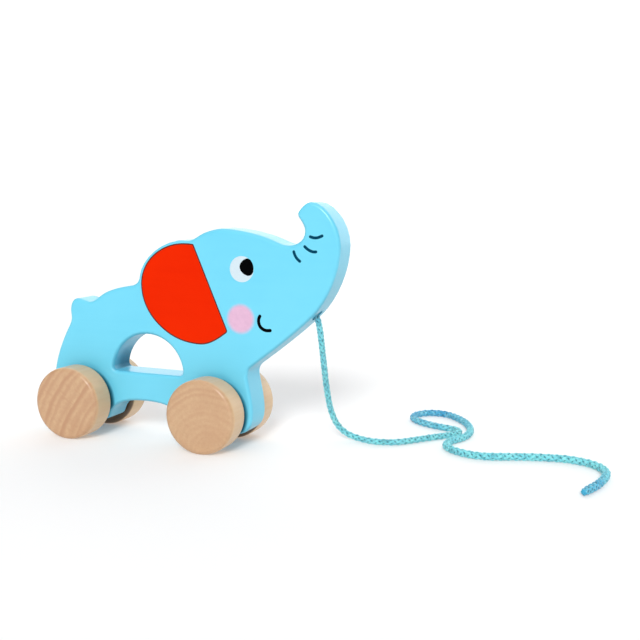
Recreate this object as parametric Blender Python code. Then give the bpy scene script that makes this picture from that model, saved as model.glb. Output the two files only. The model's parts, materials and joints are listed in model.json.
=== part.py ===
"""Pull along toy: an elephant cut from one board, on four wooden wheels, with a braided pull cord.

Metres, +Z up. The elephant walks towards +X and its right side faces -Y. The origin is on the floor,
under the middle of the toy's length and width. The cord lies on the floor ahead of it.
"""

import math

import bmesh
import bpy
from mathutils import Matrix, Vector

MM = 0.001
FIT_GAP = 0.3 * MM

# Driving dimensions
BOARD_THICKNESS = 21.0 * MM
BOARD_ROUND = 2.2 * MM
WHEELBASE = 92.2 * MM
WHEEL_RADIUS = 22.5 * MM
WHEEL_THICKNESS = 17.5 * MM
WHEEL_ROUND = 2.7 * MM
WHEEL_CLEARANCE = 2.5 * MM
AXLE_RADIUS = 4.0 * MM
AXLE_PLAY = 0.5 * MM
AXLE_SEAT_DEPTH = 12.0 * MM
AXLE_CHAMFER = 0.6 * MM
EAR_THICKNESS = 2.0 * MM
EAR_EDGE = 0.25 * MM
CORD_RADIUS = 2.1 * MM
CORD_HOLE_RADIUS = 4.0 * MM
CORD_HOLE_DEPTH = 14.0 * MM
CORD_HOLE_FLARE = 0.5 * MM

# Steps from one knot of an outline to the next
OUTLINE_STEPS = 7
EAR_STEPS = 14

# The outlines below are measured from the point halfway between the axles, on the floor.
MID_WHEELBASE_X = -28.25 * MM

# Elephant outline, clockwise from the top of the raised trunk, in millimetres and degrees:
# x, z, heading, length of the handle behind, length of the handle ahead.
# A handle of no length starts or ends a straight stretch.
ELEPHANT = [
    (107.0, 149.9, 0, 2.8, 8.0),
    (125.1, 125.0, -90, 12.0, 13.0),
    (112.0, 87.5, -127, 13.2, 10.0),
    (70.5, 51.5, -143, 19.2, 2.4),
    (67.8, 44.5, -80, 3.1, 6.6),
    (71.4, 22.0, -90, 8.0, 7.5),
    (61.0, 9.6, 180, 6.5, 0),
    (30.0, 9.6, 180, 0, 3.0),
    (24.0, 13.0, 104, 2.5, 8.7),
    (-1.8, 24.2, 180, 13.8, 13.8),
    (-27.6, 13.0, -104, 8.7, 2.5),
    (-33.6, 9.6, 180, 3.0, 0),
    (-56.0, 9.6, 180, 0, 6.5),
    (-67.5, 22.0, 101, 7.6, 5.6),
    (-67.9, 40.4, 80, 6.5, 10.2),
    (-57.4, 67.9, 61, 8.9, 2.4),
    (-55.4, 74.0, 90, 2.5, 2.0),
    (-55.8, 79.5, 84, 2.0, 4.0),
    (-50.5, 86.3, 0, 3.0, 3.0),
    (-41.8, 84.6, 0, 2.7, 3.8),
    (-30.5, 90.8, 27, 4.5, 6.2),
    (-11.7, 96.2, 9, 6.4, 3.7),
    (-5.5, 102.5, 84, 3.7, 9.1),
    (21.2, 125.2, 9, 14.8, 2.8),
    (29.5, 125.6, 14, 2.6, 3.6),
    (40.0, 130.8, 18, 4.2, 3.7),
    (52.0, 133.2, -1, 4.5, 8.0),
    (82.2, 127.7, -21, 8.7, 4.1),
    (93.0, 124.6, 0, 3.5, 5.5),
    (103.2, 133.0, 90, 5.0, 3.0),
    (99.6, 140.6, 126, 2.7, 2.4),
    (100.4, 146.0, 47, 2.5, 3.0),
]

# Ear outline, clockwise from the top of its straight front edge, in the same form
EAR = [
    (32.25, 122.65, -66, 0.45, 9.0),
    (54.4, 72.9, -66, 9.0, 0.7),
    (53.9, 71.1, -143, 0.7, 6.4),
    (36.5, 63.2, 180, 6.6, 7.7),
    (14.4, 69.2, 148, 7.6, 12.4),
    (-3.3, 98.0, 90, 12.4, 6.5),
    (4.4, 114.9, 43, 6.5, 8.2),
    (26.4, 123.35, 0, 8.2, 1.7),
    (31.4, 123.2, -5, 1.7, 0.45),
]

# Hand hole: half a disc with its flat side down. Its place is the middle of that flat side.
HAND_HOLE = (0.1, 42.0)
HAND_HOLE_RADIUS = 24.6
HAND_HOLE_CORNER = 3.0

# Mouth of the cord's hole on the chin edge, and the way the hole faces
CORD_HOLE_MOUTH = (108.4, 83.4)
CORD_HOLE_HEADING = -44.0

# Route of the cord's centre line from its blind hole to its cut end: x, y, z in millimetres
CORD_ROUTE = [
    (101.9, 0, 89.6),
    (105.4, 0, 86.2),
    (108.5, 0.1, 81.8),
    (109.8, 0.6, 75.5),
    (110.6, 3.0, 63.5),
    (110.2, 8.5, 50.5),
    (108.9, 17.5, 35.5),
    (108.5, 26.0, 22.0),
    (110.4, 33.0, 11.2),
    (115.4, 37.4, 4.8),
    (123.0, 37.9, 2.4),
    (135.0, 34.6, 2.2),
    (148.5, 39.4, 2.2),
    (159.5, 52.4, 2.2),
    (169.0, 64.0, 2.2),
    (176.8, 72.4, 2.2),
    (178.7, 77.3, 2.2),
    (177.5, 82.4, 2.2),
    (173.9, 85.8, 2.2),
    (165.5, 87.8, 2.2),
    (156.0, 91.6, 2.2),
    (147.0, 97.4, 2.2),
    (140.4, 106.2, 2.2),
    (140.7, 117.2, 2.2),
    (148.4, 126.0, 2.2),
    (160.4, 125.2, 2.2),
    (173.0, 112.6, 2.2),
    (181.0, 98.0, 2.2),
    (185.0, 82.0, 2.2),
    (184.0, 67.0, 2.2),
    (178.7, 54.9, 2.2),
    (178.0, 43.0, 2.2),
    (186.0, 32.6, 2.2),
    (203.0, 27.3, 2.2),
    (228.6, 36.4, 2.2),
    (250.2, 40.8, 2.2),
    (266.0, 35.3, 2.2),
    (274.4, 21.5, 2.2),
    (272.6, -0.5, 2.2),
    (266.0, -21.0, 2.2),
]
CORD_POINTS = 79


def clear_scene():
    for obj in list(bpy.data.objects):
        bpy.data.objects.remove(obj, do_unlink=True)


def material(name, colour, roughness, coat=0.0):
    made = bpy.data.materials.new(name)
    made.use_nodes = True
    shader = made.node_tree.nodes["Principled BSDF"]
    shader.inputs["Base Color"].default_value = (*colour, 1.0)
    shader.inputs["Roughness"].default_value = roughness
    shader.inputs["Metallic"].default_value = 0.0
    shader.inputs["Coat Weight"].default_value = coat
    made.diffuse_color = (*colour, 1.0)
    return made


def blue_paint():
    return material("blue_paint", (0.20, 0.72, 0.93), roughness=0.35, coat=0.3)


def red_paint():
    return material("red_paint", (0.84, 0.03, 0.004), roughness=0.35, coat=0.3)


def beech_wood():
    return material("beech_wood", (0.66, 0.43, 0.25), roughness=0.55)


def dowel_wood():
    return material("dowel_wood", (0.72, 0.52, 0.33), roughness=0.6)


def cord_fibre():
    return material("cord_fibre", (0.10, 0.62, 0.78), roughness=0.8)


def board_place(x, z, y=0.0):
    """The place of a point that is given in millimetres from the middle of the wheelbase."""
    return Vector((MID_WHEELBASE_X + x * MM, y, z * MM))


def heading_vector(degrees):
    angle = math.radians(degrees)
    return Vector((math.cos(angle), math.sin(angle)))


def link(obj):
    bpy.context.scene.collection.objects.link(obj)
    return obj


def mesh_object(name, bm, paint=None):
    mesh = bpy.data.meshes.new(name)
    bm.to_mesh(mesh)
    bm.free()
    if paint:
        mesh.materials.append(paint)
    return link(bpy.data.objects.new(name, mesh))


def evaluated_mesh(obj):
    graph = bpy.context.evaluated_depsgraph_get()
    return bpy.data.meshes.new_from_object(obj.evaluated_get(graph))


def add_bezier_loop(curve, knots):
    """A closed spline through knots of the form x, z, heading, handle behind, handle ahead."""
    spline = curve.splines.new("BEZIER")
    spline.bezier_points.add(len(knots) - 1)
    spline.use_cyclic_u = True
    for point, (x, z, heading, behind, ahead) in zip(spline.bezier_points, knots):
        place = Vector((MID_WHEELBASE_X + x * MM, z * MM))
        way = heading_vector(heading) * MM
        point.co = (*place, 0)
        point.handle_left_type = "FREE" if behind else "VECTOR"
        point.handle_right_type = "FREE" if ahead else "VECTOR"
        point.handle_left = (*(place - way * behind), 0)
        point.handle_right = (*(place + way * ahead), 0)


def add_point_loop(curve, points):
    spline = curve.splines.new("POLY")
    spline.points.add(len(points) - 1)
    spline.use_cyclic_u = True
    for point, (x, z) in zip(spline.points, points):
        point.co = (MID_WHEELBASE_X + x * MM, z * MM, 0, 1)


def arc(centre, radius, start, end, steps):
    """Points on an arc, with its angles in radians."""
    points = []
    for step in range(steps + 1):
        angle = start + (end - start) * step / steps
        points.append((centre[0] + radius * math.cos(angle), centre[1] + radius * math.sin(angle)))
    return points


def hand_hole_outline():
    """Half a disc whose two lower corners are filleted."""
    x, z = HAND_HOLE
    reach = math.sqrt((HAND_HOLE_RADIUS - HAND_HOLE_CORNER) ** 2 - HAND_HOLE_CORNER**2)
    meet = math.atan2(HAND_HOLE_CORNER, reach)
    corner_z = z + HAND_HOLE_CORNER
    top = arc((x, z), HAND_HOLE_RADIUS, meet, math.pi - meet, 36)
    left = arc((x - reach, corner_z), HAND_HOLE_CORNER, math.pi - meet, 1.5 * math.pi, 6)
    right = arc((x + reach, corner_z), HAND_HOLE_CORNER, -0.5 * math.pi, meet, 6)
    return top + left[1:] + right[:-1]


def plate(name, half_thickness, edge_round, offset, knots, hole=None, resolution=OUTLINE_STEPS):
    """A plate in the XZ plane, centred on Y, cut to an outline and rounded along its edges.

    offset moves the whole outline outwards.
    """
    curve = bpy.data.curves.new(name, "CURVE")
    curve.dimensions = "2D"
    curve.fill_mode = "BOTH"
    curve.resolution_u = resolution
    curve.extrude = half_thickness - edge_round
    curve.bevel_depth = edge_round
    curve.bevel_resolution = 3
    curve.offset = offset - edge_round
    add_bezier_loop(curve, knots)
    if hole:
        add_point_loop(curve, hole)
    guide = link(bpy.data.objects.new(name + "_guide", curve))
    bm = bmesh.new()
    bm.from_mesh(evaluated_mesh(guide))
    bpy.data.objects.remove(guide, do_unlink=True)
    bmesh.ops.transform(bm, matrix=Matrix.Rotation(math.pi / 2, 4, "X"), verts=bm.verts)
    bmesh.ops.remove_doubles(bm, verts=bm.verts, dist=1e-6)
    bmesh.ops.recalc_face_normals(bm, faces=bm.faces)
    return bm


def turned(profile, steps):
    """A solid of revolution about Y from a profile of (radius, y) that runs from axis to axis."""
    bm = bmesh.new()
    verts = [bm.verts.new((radius, y, 0)) for radius, y in profile]
    edges = [bm.edges.new(pair) for pair in zip(verts, verts[1:])]
    bmesh.ops.spin(
        bm,
        geom=verts + edges,
        axis=(0, 1, 0),
        cent=(0, 0, 0),
        angle=2 * math.pi,
        steps=steps,
        use_merge=True,
    )
    bmesh.ops.remove_doubles(bm, verts=bm.verts, dist=1e-6)
    bmesh.ops.recalc_face_normals(bm, faces=bm.faces)
    return bm


def smooth(obj, sharp_degrees=40):
    obj.data.shade_smooth()
    obj.data.set_sharp_from_angle(angle=math.radians(sharp_degrees))


def cut(obj, cutter):
    cutter.hide_render = True
    cutter.display_type = "WIRE"
    boolean = obj.modifiers.new("cut_" + cutter.name, "BOOLEAN")
    boolean.operation = "DIFFERENCE"
    boolean.solver = "EXACT"
    boolean.object = cutter


def axle_bore_cutter(name, x):
    half = BOARD_THICKNESS
    radius = AXLE_RADIUS + AXLE_PLAY
    bm = turned([(0, -half), (radius, -half), (radius, half), (0, half)], steps=40)
    cutter = mesh_object(name, bm)
    cutter.location = (x, 0, WHEEL_RADIUS)
    return cutter


def cord_hole_cutter():
    """A drill shape with a softly flared mouth, pointing into the chin."""
    flare = CORD_HOLE_FLARE
    wide = CORD_HOLE_RADIUS + flare
    profile = [
        (0, -CORD_HOLE_DEPTH),
        (CORD_HOLE_RADIUS, -CORD_HOLE_DEPTH),
        (CORD_HOLE_RADIUS, -flare),
        (CORD_HOLE_RADIUS + 0.3 * flare, -0.3 * flare),
        (wide, 0),
        (wide, 3 * flare),
        (0, 3 * flare),
    ]
    cutter = mesh_object("cord_hole_cutter", turned(profile, steps=32))
    way = heading_vector(CORD_HOLE_HEADING)
    direction = Vector((way.x, 0, way.y))
    cutter.rotation_mode = "QUATERNION"
    cutter.rotation_quaternion = Vector((0, 1, 0)).rotation_difference(direction)
    cutter.location = board_place(*CORD_HOLE_MOUTH)
    return cutter


def ear_pocket_cutter(name, side):
    """side is -1 for the elephant's right side and 1 for its left."""
    depth = EAR_THICKNESS + FIT_GAP
    bm = plate(name, depth, 0, FIT_GAP, EAR, resolution=EAR_STEPS)
    cutter = mesh_object(name, bm)
    cutter.location.y = side * BOARD_THICKNESS / 2
    return cutter


def make_board(paint):
    bm = plate("board", BOARD_THICKNESS / 2, BOARD_ROUND, 0, ELEPHANT, hand_hole_outline())
    board = mesh_object("body_board", bm, paint)
    smooth(board)
    for end, x in (("front", front_axle_x()), ("rear", rear_axle_x())):
        cut(board, axle_bore_cutter(end + "_bore_cutter", x))
    cut(board, cord_hole_cutter())
    for side_name, side in (("right", -1), ("left", 1)):
        cut(board, ear_pocket_cutter("ear_pocket_" + side_name, side))
    return board


def make_ear(side_name, side, paint):
    """A flush red inlay with a fine joint line all round it."""
    bm = plate("ear", EAR_THICKNESS / 2, EAR_EDGE, 0, EAR, resolution=EAR_STEPS)
    ear = mesh_object("ear_" + side_name, bm, paint)
    ear.location.y = side * (BOARD_THICKNESS - EAR_THICKNESS) / 2
    smooth(ear)
    return ear


def front_axle_x():
    return MID_WHEELBASE_X + WHEELBASE / 2


def rear_axle_x():
    return MID_WHEELBASE_X - WHEELBASE / 2


def wheel_profile():
    """From the bottom of the blind axle seat, round the rim, to the middle of the plain outer face."""
    seat = AXLE_RADIUS + FIT_GAP
    flat = WHEEL_RADIUS - WHEEL_ROUND
    quarter = math.pi / 2
    inner_edge = arc((flat, WHEEL_ROUND), WHEEL_ROUND, -quarter, 0, 3)
    outer_edge = arc((flat, WHEEL_THICKNESS - WHEEL_ROUND), WHEEL_ROUND, 0, quarter, 4)
    return [(0, AXLE_SEAT_DEPTH), (seat, AXLE_SEAT_DEPTH), (seat, 0)] + inner_edge + outer_edge + [
        (0, WHEEL_THICKNESS)
    ]


def make_wheel(name, side, pivot, paint):
    wheel = mesh_object(name, turned(wheel_profile(), steps=56), paint)
    wheel.parent = pivot
    wheel.location.y = side * (BOARD_THICKNESS / 2 + WHEEL_CLEARANCE)
    wheel.rotation_euler.z = 0 if side > 0 else math.pi
    smooth(wheel)
    return wheel


def make_axle(name, pivot, paint):
    seat_end = BOARD_THICKNESS / 2 + WHEEL_CLEARANCE + AXLE_SEAT_DEPTH - FIT_GAP
    shoulder = seat_end - AXLE_CHAMFER
    tip = AXLE_RADIUS - AXLE_CHAMFER
    profile = [(0, -seat_end), (tip, -seat_end), (AXLE_RADIUS, -shoulder)]
    profile += [(radius, -y) for radius, y in reversed(profile)]
    axle = mesh_object(name, turned(profile, steps=32), paint)
    axle.parent = pivot
    smooth(axle)
    return axle


def make_axle_set(end, x, wheel_paint, axle_paint):
    """One dowel with a wheel glued on each of its ends, all turning on an empty at its middle."""
    pivot = link(bpy.data.objects.new(end + "_axle_pivot", None))
    pivot.location = (x, 0, WHEEL_RADIUS)
    make_axle(end + "_axle", pivot, axle_paint)
    make_wheel(end + "_wheel_right", -1, pivot, wheel_paint)
    make_wheel(end + "_wheel_left", 1, pivot, wheel_paint)


def smooth_route(route, count):
    """count points, evenly spaced along a Catmull-Rom curve through the route's points."""
    ends = [2 * route[0] - route[1]] + route + [2 * route[-1] - route[-2]]
    fine = []
    steps = 24
    for before, start, end, after in zip(ends, ends[1:], ends[2:], ends[3:]):
        for step in range(steps):
            t = step / steps
            bend = (2 * before - 5 * start + 4 * end - after) * t**2
            twist = (3 * start - before - 3 * end + after) * t**3
            fine.append(0.5 * (2 * start + (end - before) * t + bend + twist))
    fine.append(route[-1])
    lengths = [0.0]
    for start, end in zip(fine, fine[1:]):
        lengths.append(lengths[-1] + (end - start).length)
    points = []
    place = 0
    for index in range(count):
        wanted = lengths[-1] * index / (count - 1)
        while place < len(fine) - 2 and lengths[place + 1] < wanted:
            place += 1
        share = (wanted - lengths[place]) / (lengths[place + 1] - lengths[place])
        points.append(fine[place].lerp(fine[place + 1], share))
    return points


def make_cord(paint):
    route = [board_place(x, z, y * MM) for x, y, z in CORD_ROUTE]
    points = smooth_route(route, CORD_POINTS)
    curve = bpy.data.curves.new("pull_cord", "CURVE")
    curve.dimensions = "3D"
    curve.bevel_depth = CORD_RADIUS
    curve.bevel_resolution = 2
    curve.use_fill_caps = True
    spline = curve.splines.new("POLY")
    spline.points.add(len(points) - 1)
    for point, place in zip(spline.points, points):
        point.co = (*place, 1)
    curve.materials.append(paint)
    return link(bpy.data.objects.new("pull_cord", curve))


def main():
    clear_scene()
    blue = blue_paint()
    red = red_paint()
    beech = beech_wood()
    dowel = dowel_wood()
    make_board(blue)
    make_ear("right", -1, red)
    make_ear("left", 1, red)
    make_axle_set("front", front_axle_x(), beech, dowel)
    make_axle_set("rear", rear_axle_x(), beech, dowel)
    make_cord(cord_fibre())


main()
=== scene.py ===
"""Looks of the pull along toy: satin paint, printed ink, turned beech and a braided cord.

Metres, +Z up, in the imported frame: the elephant walks towards +X and its right side faces -Y.
"""

import json
import math

import bmesh
import bpy
import numpy as np
from mathutils import Matrix, Vector


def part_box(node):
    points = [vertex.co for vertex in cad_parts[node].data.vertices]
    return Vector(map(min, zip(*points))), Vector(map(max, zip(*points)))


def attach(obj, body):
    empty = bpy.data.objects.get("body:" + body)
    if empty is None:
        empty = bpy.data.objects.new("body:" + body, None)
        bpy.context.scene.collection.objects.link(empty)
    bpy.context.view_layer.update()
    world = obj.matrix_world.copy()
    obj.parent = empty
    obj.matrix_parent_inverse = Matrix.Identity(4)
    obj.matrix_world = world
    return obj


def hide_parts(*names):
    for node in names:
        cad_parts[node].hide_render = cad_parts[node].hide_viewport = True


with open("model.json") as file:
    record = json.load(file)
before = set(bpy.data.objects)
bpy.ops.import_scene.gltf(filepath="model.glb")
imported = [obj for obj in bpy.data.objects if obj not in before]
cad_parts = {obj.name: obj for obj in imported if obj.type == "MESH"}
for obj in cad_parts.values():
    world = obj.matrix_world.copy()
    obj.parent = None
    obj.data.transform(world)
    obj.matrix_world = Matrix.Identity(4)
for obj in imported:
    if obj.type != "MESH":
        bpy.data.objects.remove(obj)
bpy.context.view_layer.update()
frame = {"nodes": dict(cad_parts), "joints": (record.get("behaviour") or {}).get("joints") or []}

MM = 0.001

# The body that the board, its ears, its ink and the cord ride on
TOY = "toy_body"

# The point halfway between the axles, which the face, the ear and the cord are measured from
AXLES = {joint["child"]: Vector(joint["pos_m"]) for joint in frame["joints"]}
MID_WHEELBASE_X = sum(place.x for place in AXLES.values()) / len(AXLES)
BOARD_LOW, BOARD_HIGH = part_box("body_board")

# Camera: its place in metres, its angles in degrees, and its lens and sensor in millimetres
CAMERA_PLACE = (0.2758, -0.5277, 0.1561)
CAMERA_AZIMUTH = 20.19
CAMERA_ELEVATION = 7.60
CAMERA_ROLL = 0.94
CAMERA_LENS = 54.38
CAMERA_SENSOR = 36

# Cord route, from its blind hole in the chin to its cut end: x, y, z in millimetres
CORD_ROUTE = [
    (101.9, 0, 89.6),
    (105.4, 0, 86.2),
    (108.5, 0.1, 81.8),
    (109.8, 0.6, 75.5),
    (110.6, 3.0, 63.5),
    (110.2, 8.5, 50.5),
    (108.9, 17.5, 35.5),
    (108.5, 26.0, 22.0),
    (110.4, 33.0, 11.2),
    (115.4, 37.4, 4.8),
    (123.0, 37.9, 2.4),
    (135.0, 34.6, 2.2),
    (148.5, 39.4, 2.2),
    (159.5, 52.4, 2.2),
    (169.0, 64.0, 2.2),
    (176.8, 72.4, 2.2),
    (178.7, 77.3, 2.2),
    (177.5, 82.4, 2.2),
    (173.9, 85.8, 2.2),
    (165.5, 87.8, 2.2),
    (156.0, 91.6, 2.2),
    (147.0, 97.4, 2.2),
    (140.4, 106.2, 2.2),
    (140.7, 117.2, 2.2),
    (148.4, 126.0, 2.2),
    (160.4, 125.2, 2.2),
    (173.0, 112.6, 2.2),
    (181.0, 98.0, 2.2),
    (185.0, 82.0, 2.2),
    (184.0, 67.0, 2.2),
    (178.7, 54.9, 2.2),
    (178.0, 43.0, 2.2),
    (186.0, 32.6, 2.2),
    (203.0, 27.3, 2.2),
    (228.6, 36.4, 2.2),
    (250.2, 40.8, 2.2),
    (266.0, 35.3, 2.2),
    (274.4, 21.5, 2.2),
    (272.6, -0.5, 2.2),
    (266.0, -21.0, 2.2),
]

# The braid is drawn thin where it hangs and is slack where it lies. Each pair is a length along the
# cord and its diameter there, in millimetres.
CORD_SWELL = [(0, 3.9), (95, 4.0), (150, 4.15), (215, 4.6), (330, 4.75), (520, 4.85)]

# The cord is bluer over some stretches. Over its first 14 mm, just out of the chin's hole, this is
# painted shade from the chin above. Each pair is a length along the cord in millimetres and the share
# of blue there.
CORD_BLUE_AND_SHADE = [
    (0, 1.0),
    (9, 0.8),
    (14, 0.2),
    (110, 0.12),
    (192, 0.12),
    (205, 0.5),
    (228, 0.85),
    (278, 1.0),
    (300, 0.5),
    (318, 0.2),
    (350, 0.2),
    (385, 0.1),
    (470, 0.1),
    (490, 0.5),
    (502, 0.9),
    (520, 1.0),
]
CORD_STEP = 0.55 * MM
CORD_SMOOTHING = 2.2 * MM
BRAID_PITCH = 18.8 * MM
STRANDS_EACH_WAY = 4
STRAND_SIDES = 10
CORE_SIDES = 8
BRAID_SEED = 7

# Parts of the cord's diameter
STRAND_PLACE = 0.305
STRAND_WAVE = 0.10
STRAND_HALF_THICKNESS = 0.105
STRAND_HALF_WIDTH = 0.195
CORE_RADIUS = 0.24
SEAL_RADIUS = 0.49
FLOOR_CLEARANCE = 0.51

# The cord gets thinner by this share towards its melted end, over this length
END_SQUEEZE = 0.26
END_TAPER = 2.6 * MM

# The melted end is a dome, so high over the cord's last point and so far back over the strands
SEAL_RISE = 1.0 * MM
SEAL_OVERLAP = 0.6 * MM
SEAL_SIDES = 16
SEAL_STEPS = 8


def toy_place(x, z, y=0.0):
    """The place of a point that is given in millimetres from the middle of the wheelbase."""
    return Vector((MID_WHEELBASE_X + x * MM, y, z * MM))


def add_object(name, data):
    obj = bpy.data.objects.new(name, data)
    bpy.context.scene.collection.objects.link(obj)
    return obj


def object_of(bm, name, material):
    """Turns a finished bmesh into an object with one material."""
    mesh = bpy.data.meshes.new(name)
    bm.to_mesh(mesh)
    bm.free()
    mesh.materials.append(material)
    return add_object(name, mesh)


# Camera


def make_camera():
    turn = Matrix.Rotation(math.radians(CAMERA_AZIMUTH), 4, "Z")
    tilt = Matrix.Rotation(math.radians(90 - CAMERA_ELEVATION), 4, "X")
    roll = Matrix.Rotation(math.radians(CAMERA_ROLL), 4, "Z")
    data = bpy.data.cameras.new("camera")
    data.lens = CAMERA_LENS
    data.sensor_width = CAMERA_SENSOR
    data.clip_start = 0.01
    camera = add_object("camera", data)
    camera.matrix_world = Matrix.Translation(CAMERA_PLACE) @ turn @ tilt @ roll
    bpy.context.scene.camera = camera


# Materials


class Nodes:
    """Short ways to add nodes to a node tree."""

    def __init__(self, tree):
        self.nodes = tree.nodes
        self.links = tree.links

    def add(self, kind, **settings):
        node = self.nodes.new("ShaderNode" + kind)
        for name, value in settings.items():
            setattr(node, name, value)
        return node

    def feed(self, socket, value):
        if isinstance(value, bpy.types.NodeSocket):
            self.links.new(value, socket)
        elif isinstance(value, tuple) and socket.type == "RGBA":
            socket.default_value = (*value, 1.0)
        else:
            socket.default_value = value

    def maths(self, operation, first, second=0.0, third=0.0):
        node = self.add("Math", operation=operation)
        for socket, value in zip(node.inputs, (first, second, third)):
            self.feed(socket, value)
        return node.outputs[0]

    def vector_maths(self, operation, first, second):
        node = self.add("VectorMath", operation=operation)
        self.feed(node.inputs[0], first)
        self.feed(node.inputs[1], second)
        return node.outputs["Vector"]

    def parts(self, vector):
        node = self.add("SeparateXYZ")
        self.feed(node.inputs[0], vector)
        return node.outputs

    def vector(self, x, y, z):
        node = self.add("CombineXYZ")
        for socket, value in zip(node.inputs, (x, y, z)):
            self.feed(socket, value)
        return node.outputs[0]

    def distance(self, x, z):
        """How far a point is from the origin in the XZ plane."""
        squared = self.maths("ADD", self.maths("MULTIPLY", x, x), self.maths("MULTIPLY", z, z))
        return self.maths("SQRT", squared)

    def noise(self, vector, scale, detail=2.0, roughness=0.5):
        """Noise from 0 to 1, with scale features to the metre along each axis."""
        if isinstance(scale, tuple):
            vector = self.vector_maths("MULTIPLY", vector, scale)
            scale = 1.0
        node = self.add("TexNoise")
        self.feed(node.inputs["Vector"], vector)
        node.inputs["Scale"].default_value = scale
        node.inputs["Detail"].default_value = detail
        node.inputs["Roughness"].default_value = roughness
        return node.outputs["Fac"]

    def between(self, value, low, high, to_low=0.0, to_high=1.0):
        """value, eased from to_low at low to to_high at high."""
        node = self.add("MapRange", interpolation_type="SMOOTHSTEP")
        self.feed(node.inputs["Value"], value)
        self.feed(node.inputs["From Min"], low)
        self.feed(node.inputs["From Max"], high)
        self.feed(node.inputs["To Min"], to_low)
        self.feed(node.inputs["To Max"], to_high)
        return node.outputs["Result"]

    def mix(self, factor, first, second):
        """A colour between two. The Mix node's sockets 6, 7 and 2 are the ones for colours."""
        node = self.add("Mix", data_type="RGBA")
        self.feed(node.inputs[0], factor)
        self.feed(node.inputs[6], first)
        self.feed(node.inputs[7], second)
        return node.outputs[2]

    def bump(self, height, distance, under=None):
        node = self.add("Bump")
        node.inputs["Distance"].default_value = distance
        self.feed(node.inputs["Height"], height)
        if under:
            self.links.new(under, node.inputs["Normal"])
        return node.outputs["Normal"]

    def attribute(self, name):
        return self.add("Attribute", attribute_name=name).outputs["Fac"]

    def facing(self):
        """The parts of the surface's normal along X, Y and Z."""
        return self.parts(self.add("NewGeometry").outputs["Normal"])


class Shade(Nodes):
    """One Principled material, and the nodes that vary it over the surface."""

    def __init__(self, name, **fixed):
        self.material = bpy.data.materials.new(name)
        self.material.use_nodes = True
        super().__init__(self.material.node_tree)
        self.shader = self.nodes["Principled BSDF"]
        for socket, value in fixed.items():
            self.shader.inputs[socket.replace("_", " ")].default_value = value
        self.place = self.add("TexCoord").outputs["Object"]

    def set(self, name, value):
        self.feed(self.shader.inputs[name], value)


# Paint

BLUE = (0.152, 0.632, 0.835)
BLUE_DEEP = (0.130, 0.600, 0.810)
# Painted shade: the deep blue mixed into the board's paint where it lies in shadow
BLUE_PAINTED_SHADE = (0.004, 0.155, 0.250)
RED = (0.780, 0.021, 0.0004)
RED_DEEP = (0.720, 0.015, 0.0003)
PAINT_ROUGHNESS = (0.34, 0.44)
SPRAY_SCALE = 900
SPRAY_HEIGHT = 0.012 * MM
GRAIN_HEIGHT = 0.035 * MM

# The sawn edge of an inlay shows below its painted face, from the first to the second depth
SAWN_EDGE = (0.030, 0.008, 0.004)
SAWN_EDGE_DEPTHS = (0.02 * MM, 0.08 * MM)

# The hand hole's place is the middle of its flat side. The painted shade on its rear wall and on the
# arch's is placed from there, in millimetres: lengths along X, depths along Y and heights along Z.
HAND_HOLE = (0.1, 42.0)
PAINTED_SHADE_HALF_LENGTH = 34.0
HOLE_FLOOR = -1.0
HOLE_SHADE_HEIGHTS = (1.0, 26.0)
ARCH_SHADE_HEIGHTS = (-17.0, -12.0)
ARCH_SHADE = 0.5
PAINTED_SHADE_DEPTHS = (-13.0, 2.0)
PAINTED_SHADE_AT_RIGHT_SIDE = 0.30
UNDERSIDE_SHADE = 0.30

# The painted shade beside a wheel: its middle is shifted from the axle along X and Z, and it fades
# out between two radii, all in millimetres
WHEEL_SHADE_SHIFT = (0.9, -1.1)
WHEEL_SHADE_RADII = (20.4, 22.5)
WHEEL_SHADE = 0.9


def paint_colour(shade, light, deep):
    """Paint that lies a little thicker in some places than in others."""
    cloud = shade.noise(shade.place, 22, detail=3)
    brush = shade.noise(shade.place, (18, 240, 240), detail=2)
    factor = shade.maths("MULTIPLY", shade.between(cloud, 0.3, 0.7), brush)
    return shade.mix(factor, light, deep)


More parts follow.
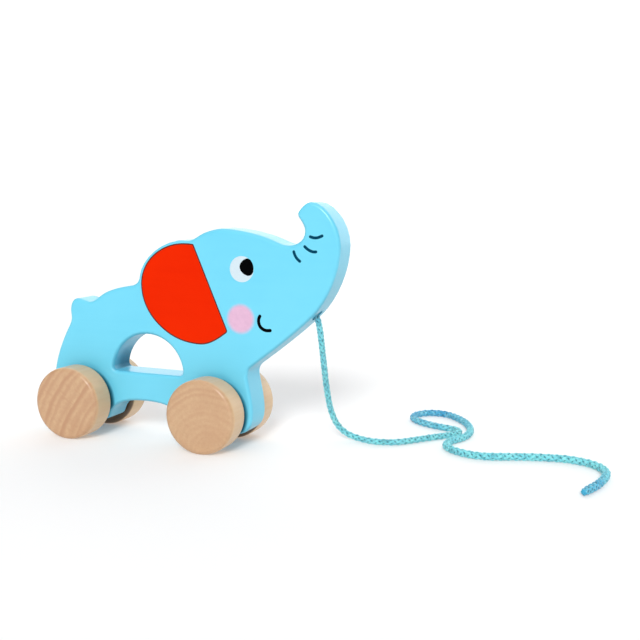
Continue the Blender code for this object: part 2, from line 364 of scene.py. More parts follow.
def painted_shade_on_board(shade):
    """How much painted shade the board gets, from 0 to 1, for shadows deeper than the studio's light
    casts.

    There the paint is darkened and made rougher: low on the rear walls of the hand hole and the arch, in
    the gap beside each wheel, and where the board faces down.
    """
    ahead, sideways, up = shade.facing()
    from_hole = shade.vector_maths("SUBTRACT", shade.place, tuple(toy_place(*HAND_HOLE)))
    x, y, z = shade.parts(from_hole)
    low, high = HOLE_SHADE_HEIGHTS
    in_hole = shade.maths("GREATER_THAN", z, HOLE_FLOOR * MM)
    in_hole = shade.maths("MULTIPLY", in_hole, shade.between(z, low * MM, high * MM, 1.0, 0.0))
    low, high = ARCH_SHADE_HEIGHTS
    in_arch = shade.between(z, low * MM, high * MM, ARCH_SHADE, 0.0)
    painted_shade = shade.maths("LESS_THAN", shade.maths("ABSOLUTE", x), PAINTED_SHADE_HALF_LENGTH * MM)
    painted_shade = shade.maths("MULTIPLY", painted_shade, shade.maths("MAXIMUM", in_hole, in_arch))
    painted_shade = shade.maths("MULTIPLY", painted_shade, shade.between(ahead, 0.10, 0.75))
    near, far = PAINTED_SHADE_DEPTHS
    painted_shade = shade.maths("MULTIPLY", painted_shade, shade.between(y, near * MM, far * MM, PAINTED_SHADE_AT_RIGHT_SIDE, 1.0))
    on_side = shade.between(shade.maths("ABSOLUTE", sideways), 0.4, 0.9, 0.0, WHEEL_SHADE)
    inner, outer = WHEEL_SHADE_RADII
    for axle in AXLES.values():
        middle = (axle.x + WHEEL_SHADE_SHIFT[0] * MM, 0.0, axle.z + WHEEL_SHADE_SHIFT[1] * MM)
        x, _, z = shade.parts(shade.vector_maths("SUBTRACT", shade.place, middle))
        beside = shade.between(shade.distance(x, z), inner * MM, outer * MM, 1.0, 0.0)
        painted_shade = shade.maths("MAXIMUM", painted_shade, shade.maths("MULTIPLY", beside, on_side))
    return shade.maths("MAXIMUM", painted_shade, shade.between(up, -0.60, -0.15, UNDERSIDE_SHADE, 0.0))


def painted_wood(name, light, deep, coat, specular, bare_edge=False, painted_shade=False):
    """Satin paint over sanded wood: faint grain lines along X and a fine sprayed texture.

    bare_edge leaves the sawn edge below the painted face dark, which draws the joint round an inlay.
    The last flag adds painted shade: the paint is darker and rougher where the board lies in shadow.
    """
    shade = Shade(
        name, Coat_Weight=coat, Coat_Roughness=0.16, IOR=1.47, Specular_IOR_Level=specular
    )
    colour = paint_colour(shade, light, deep)
    if bare_edge:
        from_middle = shade.maths("ABSOLUTE", shade.parts(shade.place)[1])
        depth = shade.maths("SUBTRACT", BOARD_HIGH.y, from_middle)
        colour = shade.mix(shade.between(depth, *SAWN_EDGE_DEPTHS), colour, SAWN_EDGE)
    grain = shade.noise(shade.place, (22, 420, 420), detail=4, roughness=0.6)
    spray = shade.noise(shade.place, SPRAY_SCALE, detail=2)
    roughness = shade.between(spray, 0.25, 0.75, *PAINT_ROUGHNESS)
    if painted_shade:
        # Painted shade: darker blue and rougher paint where the board lies in shadow
        shade_amount = painted_shade_on_board(shade)
        colour = shade.mix(shade_amount, colour, BLUE_PAINTED_SHADE)
        roughness = shade.maths("MAXIMUM", roughness, shade_amount)
    shade.set("Base Color", colour)
    shade.set("Roughness", roughness)
    normal = shade.bump(grain, GRAIN_HEIGHT)
    normal = shade.bump(spray, SPRAY_HEIGHT, under=normal)
    shade.set("Normal", normal)
    return shade.material


# Wood

BEECH_LIGHT = (0.595, 0.382, 0.215)
BEECH_DARK = (0.490, 0.268, 0.145)
BEECH_FLECK = (0.340, 0.175, 0.090)
BEECH_SIDE = (0.840, 0.570, 0.315)
BEECH_SIDE_SHARE = 0.65
# Painted shade: the dark brown put on each wheel's face towards the board, where shadow falls
BEECH_PAINTED_SHADE = (0.110, 0.060, 0.028)
BEECH_PAINTED_SHADE_SHARE = 0.93
BEECH_PAINTED_SHADE_FROM = (4.0 * MM, 10.0 * MM)
DOWEL_LIGHT = (0.66, 0.47, 0.29)
DOWEL_DARK = (0.50, 0.33, 0.18)


def late_wood(shade, radius, ring_width, seed):
    """The dark outer part of each year's ring, from 0 to 1.

    Some years are darker than others, and the rings are faint near the pith.
    """
    years = shade.maths("DIVIDE", radius, ring_width * MM)
    weather = shade.noise(shade.vector(years, seed, 0.0), 0.45, detail=1)
    years = shade.maths("MULTIPLY_ADD", weather, 1.3, years)
    ring = shade.maths("FRACT", years)
    late = shade.maths(
        "MULTIPLY", shade.between(ring, 0.10, 0.62), shade.between(ring, 0.74, 1.0, 1.0, 0.0)
    )
    strong = shade.between(shade.noise(shade.vector(years, 0.0, seed), 0.8, detail=1), 0.3, 0.65)
    late = shade.maths("MULTIPLY", late, shade.maths("MULTIPLY_ADD", strong, 0.75, 0.25))
    return shade.maths("MULTIPLY", late, shade.between(radius, 7.0 * MM, 16.0 * MM, 0.1, 1.0))


def wood_rays(shade, x, y, z, radius):
    """Fine lines that run out from the pith, across the rings."""
    ray_place = shade.vector(
        shade.maths("MULTIPLY", shade.maths("ARCTAN2", z, x), 75.0),
        shade.maths("MULTIPLY", y, 60.0),
        shade.maths("MULTIPLY", radius, 120.0),
    )
    return shade.between(shade.noise(ray_place, 1.0, detail=2), 0.54, 0.72)


def beech(name, centre, pith, ring_width, ring_strength, seed):
    """Beech cut across its grain: growth rings round a pith, fine rays out of it, and pores along Y.

    pith is where the tree's middle was, in millimetres along X and Z from the piece's own axis. The
    end grain drinks more lacquer than the side grain, so it is darker. The face towards the board is
    darkened to a deep brown with painted shade, for the shadow that falls between wheel and board.
    """
    shade = Shade(name, Coat_Weight=0.45, Coat_Roughness=0.22, IOR=1.45)
    middle = (centre.x + pith[0] * MM, seed, centre.z + pith[1] * MM)
    local = shade.vector_maths("SUBTRACT", shade.place, middle)
    x, y, z = shade.parts(local)
    sway = shade.noise(local, (55, 12, 55), detail=2)
    ripple = shade.noise(local, (300, 20, 300), detail=2)
    radius = shade.maths("MULTIPLY_ADD", sway, 5.0 * MM, shade.distance(x, z))
    radius = shade.maths("MULTIPLY_ADD", ripple, 0.8 * MM, radius)
    late = late_wood(shade, radius, ring_width, seed)
    ray = wood_rays(shade, x, y, z, radius)
    pore = shade.between(shade.noise(local, (2300, 60, 2300), detail=1), 0.58, 0.72)
    streak = shade.noise(local, (620, 12, 620), detail=3)
    broad = shade.noise(local, (70, 8, 70), detail=2)
    wood = shade.mix(shade.maths("MULTIPLY", late, ring_strength), BEECH_LIGHT, BEECH_DARK)
    wood = shade.mix(shade.maths("MULTIPLY", ray, 0.40), wood, BEECH_DARK)
    wood = shade.mix(shade.maths("MULTIPLY", pore, 0.30), wood, BEECH_FLECK)
    wood = shade.mix(shade.between(streak, 0.35, 0.75, 0.0, 0.35), wood, BEECH_DARK)
    wood = shade.mix(shade.between(broad, 0.35, 0.70, 0.0, 0.35), wood, BEECH_DARK)
    normal_y = shade.facing()[1]
    side_grain = shade.between(
        shade.maths("ABSOLUTE", normal_y), 0.15, 0.80, BEECH_SIDE_SHARE, 0.0
    )
    wood = shade.mix(side_grain, wood, BEECH_SIDE)
    # Painted shade: the face towards the board is darkened, where shadow falls between wheel and board
    place_y = shade.parts(shade.place)[1]
    inwards = shade.maths("MULTIPLY", shade.maths("MULTIPLY", place_y, normal_y), -1.0)
    inner = shade.between(inwards, *BEECH_PAINTED_SHADE_FROM, 0.0, BEECH_PAINTED_SHADE_SHARE)
    shade.set("Base Color", shade.mix(inner, wood, BEECH_PAINTED_SHADE))
    shade.set("Roughness", shade.between(streak, 0.3, 0.7, 0.42, 0.56))
    normal = shade.bump(pore, -0.04 * MM)
    normal = shade.bump(late, -0.02 * MM, under=normal)
    normal = shade.bump(streak, 0.02 * MM, under=normal)
    shade.set("Normal", normal)
    return shade.material


def dowel_wood():
    """Pale birch with its grain along Y, the way the axles lie."""
    shade = Shade("dowel_wood", IOR=1.45)
    grain = shade.noise(shade.place, (1500, 40, 1500), detail=3)
    shade.set("Base Color", shade.mix(grain, DOWEL_LIGHT, DOWEL_DARK))
    shade.set("Roughness", shade.between(grain, 0.3, 0.7, 0.55, 0.7))
    shade.set("Normal", shade.bump(grain, 0.03 * MM))
    return shade.material


# Ink: the colour of most of the film, and of its mottles

WHITE_INK = ((0.600, 0.715, 0.780), (0.575, 0.690, 0.760))
BLACK_INK = ((0.0005, 0.0005, 0.0008), (0.0015, 0.0015, 0.002))
NAVY_INK = ((0.001, 0.045, 0.090), (0.002, 0.058, 0.112))
BLUSH_INK = ((0.715, 0.445, 0.615), (0.670, 0.410, 0.580))
JOINT_GLUE = ((0.110, 0.028, 0.018), (0.080, 0.022, 0.014))


def ink(name, colour, mottle):
    """Screen-printed ink: a slightly mottled film that shines less than the paint under it."""
    shade = Shade(name, IOR=1.47, Specular_IOR_Level=0.02)
    film = shade.noise(shade.place, 1400, detail=2)
    shade.set("Base Color", shade.mix(shade.between(film, 0.35, 0.75), colour, mottle))
    shade.set("Roughness", shade.between(film, 0.3, 0.7, 0.32, 0.42))
    shade.set("Normal", shade.bump(film, 0.006 * MM))
    return shade.material


def blush_ink(centre, radius):
    """Sprayed pink that thins out into the blue paint towards its rim."""
    shade = Shade("blush_ink", IOR=1.47)
    x, _, z = shade.parts(shade.vector_maths("SUBTRACT", shade.place, tuple(centre)))
    mottle = shade.noise(shade.place, 420, detail=3)
    away = shade.maths("MULTIPLY_ADD", mottle, 0.3 * MM, shade.distance(x, z))
    pink = shade.mix(shade.between(mottle, 0.3, 0.7), *BLUSH_INK)
    rim = shade.between(away, radius - CHEEK_FADE * MM, radius)
    shade.set("Base Color", shade.mix(rim, pink, paint_colour(shade, BLUE, BLUE_DEEP)))
    spray = shade.noise(shade.place, SPRAY_SCALE, detail=2)
    shade.set("Roughness", shade.between(spray, 0.25, 0.75, *PAINT_ROUGHNESS))
    shade.set("Normal", shade.bump(spray, SPRAY_HEIGHT))
    return shade.material


# Cord fibre

CORD_LIGHT = (0.310, 0.970, 0.970)
CORD_BLUE = (0.045, 0.405, 0.730)
CORD_SHADE = (0.008, 0.160, 0.250)
CORD_WORN = (0.520, 0.990, 0.990)
SEAL_LIGHT = (0.050, 0.480, 0.720)
SEAL_DARK = (0.020, 0.260, 0.450)
THREADS_PER_METRE = 260.0
THREADS_ACROSS = 14.0


def braid_fibre():
    """Plied yarns: fine threads along each strand, blue and turquoise mixed, and painted shade down in the
    braid.
    """
    shade = Shade(
        "braid_fibre", Sheen_Weight=0.3, Sheen_Roughness=0.45, IOR=1.45, Specular_IOR_Level=0.35
    )
    uv = shade.add("UVMap", uv_map="strand").outputs["UV"]
    along, across, _ = shade.parts(uv)
    slant = shade.maths("MULTIPLY", across, THREADS_ACROSS)
    threads = shade.maths("MULTIPLY_ADD", along, THREADS_PER_METRE, slant)
    thread = shade.maths("SINE", shade.maths("MULTIPLY", threads, 2 * math.pi))
    fuzz = shade.noise(shade.place, 2600, detail=3)
    tone = shade.attribute("tone")
    patches = shade.noise(shade.place, 60, detail=2)
    # The share of blue along the cord; just below the chin it is painted shade
    blue_and_shade = shade.maths("MULTIPLY", shade.attribute("blue_and_shade"), shade.between(patches, 0.25, 0.60, 0.6, 1.0))
    colour = shade.mix(blue_and_shade, CORD_LIGHT, CORD_BLUE)
    colour = shade.mix(shade.maths("MULTIPLY", tone, 0.25), colour, CORD_BLUE)
    colour = shade.mix(shade.between(thread, -1.0, 0.4, 0.22, 0.0), colour, CORD_SHADE)
    mottle = shade.noise(shade.place, 430, detail=2)
    colour = shade.mix(shade.between(mottle, 0.36, 0.48, 0.30, 0.0), colour, CORD_WORN)
    colour = shade.mix(shade.between(mottle, 0.52, 0.68, 0.0, 0.42), colour, CORD_SHADE)
    # Painted shade: the strands go darker where they dip down into the braid, where shade falls
    depth = shade.between(shade.attribute("rise"), 0.52, 0.86, 0.94, 0.0)
    colour = shade.mix(depth, colour, CORD_SHADE)
    shade.set("Base Color", colour)
    shade.set("Roughness", shade.between(fuzz, 0.3, 0.7, 0.62, 0.82))
    normal = shade.bump(thread, 0.05 * MM)
    normal = shade.bump(fuzz, 0.05 * MM, under=normal)
    shade.set("Normal", normal)
    return shade.material


def melted_fibre():
    """The cut end, sealed with heat: darker, smooth and hard."""
    shade = Shade("melted_fibre", IOR=1.5)
    lumps = shade.noise(shade.place, 1200, detail=2)
    shade.set("Base Color", shade.mix(lumps, SEAL_LIGHT, SEAL_DARK))
    shade.set("Roughness", shade.between(lumps, 0.3, 0.7, 0.30, 0.50))
    shade.set("Normal", shade.bump(lumps, 0.08 * MM))
    return shade.material


# Cord


def smooth_line(knots, spacing, smoothing, steps=24):
    """Evenly spaced points on a curve through the knots, rounded off by smoothing."""
    ends = np.vstack([2 * knots[0] - knots[1], knots, 2 * knots[-1] - knots[-2]])
    share = np.linspace(0, 1, steps, endpoint=False)[:, None]
    fine = []
    for before, start, end, after in zip(ends, ends[1:], ends[2:], ends[3:]):
        bend = (2 * before - 5 * start + 4 * end - after) * share**2
        twist = (3 * start - before - 3 * end + after) * share**3
        fine.append(0.5 * (2 * start + (end - before) * share + bend + twist))
    line = even(np.vstack(fine + [knots[-1:]]), spacing)
    reach = int(3 * smoothing / spacing)
    offsets = np.arange(-reach, reach + 1) * spacing
    weights = np.exp(-0.5 * (offsets / smoothing) ** 2)
    weights /= weights.sum()
    before = 2 * line[0] - line[reach:0:-1]
    after = 2 * line[-1] - line[-2 : -reach - 2 : -1]
    padded = np.vstack([before, line, after])
    rounded = [np.convolve(padded[:, axis], weights, mode="valid") for axis in range(3)]
    return even(np.stack(rounded, axis=1), spacing)


def even(line, spacing):
    """The same line with its points evenly spaced."""
    lengths = np.r_[0, np.cumsum(np.linalg.norm(np.diff(line, axis=0), axis=1))]
    wanted = np.linspace(0, lengths[-1], int(lengths[-1] / spacing) + 1)
    return np.stack([np.interp(wanted, lengths, axis) for axis in line.T], axis=1)


def unit(vectors):
    return vectors / np.linalg.norm(vectors, axis=-1, keepdims=True)


def frames_along(line):
    """Two directions across the line at each point, which turn no more than the line makes them."""
    ways = unit(np.gradient(line, axis=0))
    across = np.empty_like(line)
    across[0] = unit(np.cross(ways[0], (0.0, 1.0, 0.0)))
    for index in range(1, len(line)):
        last = across[index - 1]
        across[index] = unit(last - ways[index] * last.dot(ways[index]))
    return across, np.cross(ways, across)


def cord_line():
    """The cord's centre line and its diameter at each point, lying on the floor where it rests."""
    knots = np.array([toy_place(x, z, y * MM) for x, y, z in CORD_ROUTE])
    line = smooth_line(knots, CORD_STEP, CORD_SMOOTHING)
    along = np.arange(len(line)) * CORD_STEP
    stations, diameters = np.array(CORD_SWELL).T * MM
    diameter = np.interp(along, stations, diameters)
    line[:, 2] = np.maximum(line[:, 2], FLOOR_CLEARANCE * diameter)
    return line, along, diameter


def tube(centres, radial, across, width, thickness, sides):
    """Rings of an oval tube, as an array of rings, sides and places.

    across and radial are given left-handed round the tube, so the turn runs backwards.
    """
    turn = np.linspace(2 * math.pi, 0, sides, endpoint=False)
    wide = across[:, None] * (np.cos(turn)[None, :] * width[:, None])[..., None]
    thick = radial[:, None] * (np.sin(turn)[None, :] * thickness[:, None])[..., None]
    return centres[:, None] + wide + thick


def add_tube(parts, rings, tone, rise, blue_and_shade, material=0):
    """Adds a tube with closed ends to the lists that make the cord's mesh."""
    count, sides = rings.shape[:2]
    first = parts["count"]
    parts["places"].append(rings.reshape(-1, 3))
    parts["tone"].append(np.full(count * sides, tone))
    parts["rise"].append(rise.reshape(-1))
    parts["blue_and_shade"].append(np.repeat(blue_and_shade, sides))
    ring = first + np.arange(count - 1)[:, None] * sides
    side = np.arange(sides)[None, :]
    after = (side + 1) % sides
    quads = np.stack([ring + side, ring + after, ring + sides + after, ring + sides + side], axis=-1)
    parts["faces"] += quads.reshape(-1, 4).tolist()
    parts["faces"].append(list(range(first + sides - 1, first - 1, -1)))
    last = first + (count - 1) * sides
    parts["faces"].append(list(range(last, last + sides)))
    along = np.arange(count - 1)[:, None] * CORD_STEP + 0 * side
    u = np.stack([along, along, along + CORD_STEP, along + CORD_STEP], axis=-1)
    v = np.stack([side, side + 1, side + 1, side], axis=-1) / sides + 0 * u
    parts["uv"].append(np.stack([u, v], axis=-1).reshape(-1, 2))
    parts["uv"].append(np.zeros((2 * sides, 2)))
    parts["materials"] += [material] * ((count - 1) * sides + 2)
    parts["count"] += count * sides


def make_cord():
    """A round braid: strands that wind both ways, over and under each other, on a core."""
    line, along, diameter = cord_line()
    normal, binormal = frames_along(line)
    phase = 2 * math.pi * along / BRAID_PITCH
    to_end = along[-1] - along
    squeeze = 1 - END_SQUEEZE * np.exp(-((to_end / END_TAPER) ** 2))
    unevenness = 0.02 * np.sin(along / (1.9 * MM)) * np.sin(along / (4.7 * MM))
    size = diameter * squeeze * (1 + unevenness)
    places, shares = np.array(CORD_BLUE_AND_SHADE).T
    blue_and_shade = np.interp(along, places * MM, shares)
    parts = {"count": 0, "places": [], "faces": [], "uv": [], "materials": []}
    parts.update({"tone": [], "rise": [], "blue_and_shade": []})
    rng = np.random.default_rng(BRAID_SEED)
    for direction in (1, -1):
        for index in range(STRANDS_EACH_WAY):
            angle = direction * phase + index * 2 * math.pi / STRANDS_EACH_WAY
            radial = normal * np.cos(angle)[:, None] + binormal * np.sin(angle)[:, None]
            wave = direction * STRAND_WAVE * np.cos(STRANDS_EACH_WAY * phase)
            centres = line + radial * (size * (STRAND_PLACE + wave))[:, None]
            ways = unit(np.gradient(centres, axis=0))
            across = unit(np.cross(ways, radial))
            lift = np.cross(across, ways)
            width = size * STRAND_HALF_WIDTH * rng.uniform(0.94, 1.05)
            thickness = size * STRAND_HALF_THICKNESS * rng.uniform(0.95, 1.08)
            rings = tube(centres, lift, across, width, thickness, STRAND_SIDES)
            away = np.linalg.norm(rings - line[:, None], axis=2)
            add_tube(parts, rings, rng.uniform(), away / (size[:, None] / 2), blue_and_shade)
    core = tube(line, normal, binormal, size * CORE_RADIUS, size * CORE_RADIUS, CORE_SIDES)
    add_tube(parts, core, 0.5, np.full(core.shape[:2], 0.3), blue_and_shade)
    seal = melted_end(line, normal, binormal, size)
    add_tube(parts, seal, 0.5, np.ones(seal.shape[:2]), np.ones(len(seal)), material=1)

    mesh = bpy.data.meshes.new("braided_cord")
    mesh.from_pydata(np.vstack(parts["places"]).tolist(), [], parts["faces"])
    mesh.uv_layers.new(name="strand").data.foreach_set("uv", np.vstack(parts["uv"]).ravel())
    for name in ("tone", "rise", "blue_and_shade"):
        attribute = mesh.attributes.new(name, "FLOAT", "POINT")
        attribute.data.foreach_set("value", np.concatenate(parts[name]))
    mesh.materials.append(braid_fibre())
    mesh.materials.append(melted_fibre())
    mesh.polygons.foreach_set("material_index", parts["materials"])
    mesh.shade_smooth()
    cord = add_object("braided_cord", mesh)
    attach(cord, TOY)
    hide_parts("pull_cord")


def melted_end(line, normal, binormal, size):
    """A lumpy dome that holds the strands together at the cut end."""
    way = unit(line[-1] - line[-3])
    rings = []
    turn = np.linspace(0, 2 * math.pi, SEAL_SIDES, endpoint=False)
    out = np.cos(turn)[:, None] * normal[-1] + np.sin(turn)[:, None] * binormal[-1]
    radius = size[-1] * SEAL_RADIUS
    for step in range(SEAL_STEPS + 1):
        rise = math.pi * (step / SEAL_STEPS - 0.5)
        reach = radius * max(math.cos(rise), 0.05)
        lumps = 1 + 0.05 * np.sin(3 * turn + 1.3) + 0.04 * np.sin(5 * turn + 2.0 * step)
        middle = line[-1] + way * (SEAL_RISE * math.sin(rise) - SEAL_OVERLAP)
        rings.append(middle + out * (reach * lumps)[:, None])
    return np.array(rings)


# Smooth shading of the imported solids


def smooth_node(name, sharp_degrees=38):
    """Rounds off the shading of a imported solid's facets, and keeps its real corners sharp."""
    obj = frame["nodes"][name]
    mesh = obj.data
    if "custom_normal" in mesh.attributes:
        mesh.attributes.remove(mesh.attributes["custom_normal"])
    sides = {}
    for polygon in mesh.polygons:
        for loop in polygon.loop_indices:
            edge = mesh.edges[mesh.loops[loop].edge_index]
            ends = [tuple(round(c, 6) for c in mesh.vertices[v].co) for v in edge.vertices]
            sides.setdefault(frozenset(ends), []).append((edge.index, polygon.normal))
    limit = math.cos(math.radians(sharp_degrees))
    for pair in sides.values():
        sharp = len(pair) == 2 and pair[0][1].dot(pair[1][1]) < limit
        for edge, _ in pair:
            mesh.edges[edge].use_edge_sharp = sharp
    for polygon in mesh.polygons:
        polygon.use_smooth = True
    weld = obj.modifiers.new("weld", "WELD")
    weld.merge_threshold = 0.001 * MM
    shading = obj.modifiers.new("shading", "WEIGHTED_NORMAL")
    shading.keep_sharp = True


def dress(name, material):
    """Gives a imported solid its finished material."""
    mesh = frame["nodes"][name].data
    mesh.materials.clear()
    mesh.materials.append(material)
    smooth_node(name)


# Printed face: places along X and Z, radii and widths in millimetres

INK_PROUD = 0.05 * MM
INK_ROOT = 0.15 * MM
INK_ROUND = 0.06
EYE = (64.2, 109.7)
EYE_RADIUS = 7.7
PUPIL = [
    (67.6, 116.3),
    (65.0, 115.1),
    (63.2, 113.0),
    (62.7, 110.8),
    (63.5, 108.7),
    (65.4, 106.9),
    (68.2, 105.8),
    (70.5, 106.5),
    (71.7, 108.2),
    (71.9, 110.3),
    (71.5, 112.6),
    (70.3, 114.9),
    (69.0, 116.0),
]
CHEEK = (63.7, 80.1)
CHEEK_RADIUS = 10.2
CHEEK_FADE = 3.2
SMILE = [
    (76.1, 82.5),
    (75.3, 80.6),
    (75.4, 78.5),
    (76.2, 76.5),
    (77.7, 75.1),
    (80.1, 74.2),
    (82.8, 74.4),
]
SMILE_WIDTH = 2.0
CREASES = [
    [(107.1, 130.1), (108.5, 129.7), (110.3, 129.5), (112.3, 129.9), (114.3, 130.8)],
    [(103.8, 124.4), (105.5, 122.9), (107.3, 122.0), (109.0, 121.5), (110.7, 121.6)],
    [(97.1, 121.2), (97.7, 119.4), (98.6, 117.9), (99.7, 116.7), (100.9, 115.8)],
]
CREASE_WIDTH = 1.7


def circle(centre, radius, steps=72):
    """An outline as an array of x, z, in millimetres."""
    turn = np.linspace(0, 2 * math.pi, steps, endpoint=False)
    return np.array(centre) + radius * np.stack([np.cos(turn), np.sin(turn)], axis=1)


def rounded_loop(points, spacing=0.25, smoothing=0.5):
    """A closed outline through the points with its corners eased, as an array of x, z."""
    loop = even(np.array(points + points[:1]), spacing)[:-1]
    offsets = np.arange(len(loop)) * spacing
    offsets = np.minimum(offsets, offsets[::-1] + spacing)
    weights = np.exp(-0.5 * (offsets / smoothing) ** 2)
    spectrum = np.fft.fft(weights / weights.sum())[:, None]
    return np.fft.ifft(np.fft.fft(loop, axis=0) * spectrum, axis=0).real


def stroke(points, width):
    """The outline of a pen stroke of even width, with round ends, along a smooth curve."""
    knots = np.array([(x, 0.0, z) for x, z in points])
    line = smooth_line(knots, spacing=0.25, smoothing=0.7)[:, [0, 2]]
    ways = unit(np.gradient(line, axis=0))
    normals = np.stack([-ways[:, 1], ways[:, 0]], axis=1)
    half = width / 2
    left = line + normals * half
    right = line - normals * half
    swing = np.linspace(0, math.pi, 10)[1:-1]
    far = [line[-1] + half * (normals[-1] * math.cos(a) + ways[-1] * math.sin(a)) for a in swing]
    near = [line[0] + half * (-normals[0] * math.cos(a) - ways[0] * math.sin(a)) for a in swing]
    return np.vstack([left, far, right[::-1], near])


def bridge(bm, low, high):
    """Faces between two rings of vertices."""
    for index in range(len(low)):
        after = (index + 1) % len(low)
        bm.faces.new([low[index], low[after], high[after], high[index]])


def skin(bm, levels):
    """Faces from each outline to the next, where each level is an outline and its y. Gives their rings."""
    rings = [[bm.verts.new(toy_place(x, z, y)) for x, z in outline] for outline, y in levels]
    for low, high in zip(rings, rings[1:]):
        bridge(bm, low, high)
    return rings


def print_on(name, outline, material, layer=0):
    """A thin film of ink on both flat sides of the board, with its rim rounded over.

    Each layer lies on the one below it.
    """
    for side_name, side in (("right", -1), ("left", 1)):
        face = BOARD_LOW.y if side < 0 else BOARD_HIGH.y
        top = face + side * INK_PROUD * (1 + layer)
        inner = inset(outline, INK_ROUND)
        levels = [
            (outline, face - side * INK_ROOT),
            (outline, top - side * 0.5 * INK_PROUD),
            (inner, top),
        ]
        bm = bmesh.new()
        rings = skin(bm, levels)
        bm.faces.new(rings[0])
        bm.faces.new(rings[-1])
        bmesh.ops.recalc_face_normals(bm, faces=bm.faces)
        bmesh.ops.triangulate(bm, faces=[f for f in bm.faces if len(f.verts) > 4])
        film = object_of(bm, name + "_" + side_name, material)
        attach(film, TOY)


def inset(outline, distance):
    """The outline moved inwards by a small distance."""
    ways = unit(np.roll(outline, -1, axis=0) - np.roll(outline, 1, axis=0))
    normals = np.stack([ways[:, 1], -ways[:, 0]], axis=1)
    after = np.roll(outline, -1, axis=0)
    area = (outline[:, 0] * after[:, 1] - after[:, 0] * outline[:, 1]).sum()
    return outline - np.sign(area) * normals * distance


# Joints round the ears

# In millimetres: how far inside an ear's real edge its flat face ends, and how far inside and outside
# that real edge the dark line reaches
EAR_EDGE = 0.25
JOINT_INSIDE = 0.40
JOINT_OUTSIDE = 0.33
JOINT_PROUD = 0.03 * MM
JOINT_ROOT = 0.50 * MM


def rim_of(name):
    """The outline of a node's outermost flat face, in order, as an array of x, z in millimetres."""
    mesh = frame["nodes"][name].data
    outermost = max((polygon.center.y for polygon in mesh.polygons), key=abs)
    after = {}
    for polygon in mesh.polygons:
        places = [mesh.vertices[index].co for index in polygon.vertices]
        if max(abs(place.y - outermost) for place in places) > 0.01 * MM:
            continue
        corners = [(round(place.x / MM, 3), round(place.z / MM, 3)) for place in places]
        for start, end in zip(corners, corners[1:] + corners[:1]):
            after.setdefault(start, set()).add(end)
    edges = {start: [end for end in ends if start not in after[end]] for start, ends in after.items()}
    rim = [next(start for start, ends in edges.items() if ends)]
    while edges[rim[-1]][0] != rim[0]:
        rim.append(edges[rim[-1]][0])
    return np.array(rim) - (MID_WHEELBASE_X / MM, 0.0)


def fill_joint(ear, material):
    """Dark glue in the fine joint between an inlaid ear and its pocket."""
    rim = rim_of(ear)
    side = math.copysign(1.0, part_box(ear)[0].y)
    face = BOARD_LOW.y if side < 0 else BOARD_HIGH.y
    near = face + side * JOINT_PROUD
    deep = face - side * JOINT_ROOT
    inner = inset(rim, JOINT_INSIDE - EAR_EDGE)
    outer = inset(rim, -EAR_EDGE - JOINT_OUTSIDE)
    bm = bmesh.new()
    rings = skin(bm, ((inner, deep), (inner, near), (outer, near), (outer, deep)))
    bridge(bm, rings[-1], rings[0])
    bmesh.ops.recalc_face_normals(bm, faces=bm.faces)
    joint = object_of(bm, "joint_of_" + ear, material)
    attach(joint, TOY)


def make_face():
    white = ink("white_ink", *WHITE_INK)
    black = ink("black_ink", *BLACK_INK)
    navy = ink("navy_ink", *NAVY_INK)
    blush = blush_ink(toy_place(*CHEEK), CHEEK_RADIUS * MM)
    print_on("eye_white", circle(EYE, EYE_RADIUS), white)
    print_on("pupil", rounded_loop(PUPIL), black, layer=1)
    print_on("cheek", circle(CHEEK, CHEEK_RADIUS), blush)
    print_on("smile", stroke(SMILE, SMILE_WIDTH), black)
    for number, crease in enumerate(CREASES, 1):
        print_on(f"trunk_crease_{number}", stroke(crease, CREASE_WIDTH), navy)


# Wheels, board and ears

# Body it turns with, pith in millimetres from its axle, ring width in millimetres, strength of the rings
WHEELS = {
    "front_wheel_right": ("front_wheels", (6.0, -19.0), 3.6, 0.5),
    "front_wheel_left": ("front_wheels", (-30.0, 22.0), 4.2, 0.6),
    "rear_wheel_right": ("rear_wheels", (84.0, -52.0), 4.8, 1.0),
    "rear_wheel_left": ("rear_wheels", (18.0, 60.0), 4.8, 0.6),
}
SEED_STEP = 0.37


def dress_frame():
    dress("body_board", painted_wood("satin_blue", BLUE, BLUE_DEEP, coat=0.3, specular=0.5, painted_shade=True))
    red = painted_wood("satin_red", RED, RED_DEEP, coat=0.0, specular=0.02, bare_edge=True)
    glue = ink("joint_glue", *JOINT_GLUE)
    for ear in ("ear_right", "ear_left"):
        dress(ear, red)
        fill_joint(ear, glue)
    dowel = dowel_wood()
    for axle in ("front_axle", "rear_axle"):
        dress(axle, dowel)
    for number, (name, (body, pith, width, strength)) in enumerate(WHEELS.items(), 1):
        dress(name, beech("beech_" + name, AXLES[body], pith, width, strength, number * SEED_STEP))


# Studio

# How bright the studio is behind the toy, in front of it, at its sides, low down round it and overhead
BEHIND = 1.7
IN_FRONT = 0.52
AT_SIDES = 0.04
HORIZON = 0.48
OVERHEAD = 1.07

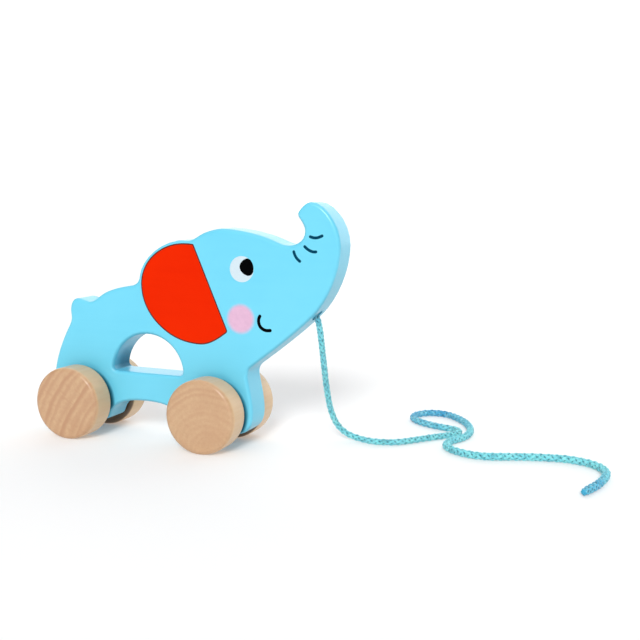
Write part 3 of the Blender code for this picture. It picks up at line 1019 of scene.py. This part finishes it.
# Where one part of the studio passes into the next, as parts of a direction of length 1
SIDES_BETWEEN = (0.35, 0.85)
HORIZON_BETWEEN = (0.24, 0.36)
BACKDROP_BETWEEN = (0.42, 0.72)
OVERHEAD_BETWEEN = (0.55, 0.95)

KEY_POWER = 1.76
KEY_WAY = (0.21, -0.85, 0.48)
KEY_ANGLE = 16

# The floor is paper on a light table, which glows this much, where 1 shows as white
LIGHT_TABLE = 0.30
PAPER = ((0.62, 0.62, 0.62), (0.61, 0.61, 0.61))
FLOOR_HALF_SIZE = 6.0


def make_floor():
    shade = Shade(
        "studio_floor",
        Roughness=0.9,
        Specular_IOR_Level=0.1,
        Sheen_Weight=1.0,
        Sheen_Roughness=0.6,
        Emission_Strength=LIGHT_TABLE,
    )
    paper = shade.noise(shade.place, 300, detail=2)
    shade.set("Base Color", shade.mix(paper, *PAPER))
    bm = bmesh.new()
    bmesh.ops.create_grid(bm, x_segments=2, y_segments=2, size=FLOOR_HALF_SIZE)
    object_of(bm, "studio_floor", shade.material)


def make_lights():
    """A bright white backdrop behind the toy, dim sides, a soft overhead light and a soft key."""
    world = bpy.data.worlds.new("studio")
    world.use_nodes = True
    shade = Nodes(world.node_tree)
    right, back, up = shade.parts(shade.add("TexCoord").outputs["Generated"])
    front = shade.between(shade.maths("ABSOLUTE", right), *SIDES_BETWEEN, IN_FRONT, AT_SIDES)
    low = shade.between(up, *HORIZON_BETWEEN, HORIZON, front)
    around = shade.between(back, *BACKDROP_BETWEEN, low, BEHIND)
    level = shade.between(up, *OVERHEAD_BETWEEN, around, OVERHEAD)
    background = shade.nodes["Background"]
    background.inputs["Color"].default_value = (1.0, 1.0, 1.0, 1.0)
    shade.feed(background.inputs["Strength"], level)
    bpy.context.scene.world = world
    data = bpy.data.lights.new("key_light", "SUN")
    data.energy = KEY_POWER
    data.angle = math.radians(KEY_ANGLE)
    key = add_object("key_light", data)
    key.rotation_mode = "QUATERNION"
    key.rotation_quaternion = Vector(KEY_WAY).to_track_quat("Z", "Y")


def main():
    bpy.context.scene.view_settings.view_transform = "Standard"
    make_camera()
    make_cord()
    dress_frame()
    make_face()
    make_floor()
    make_lights()


main()
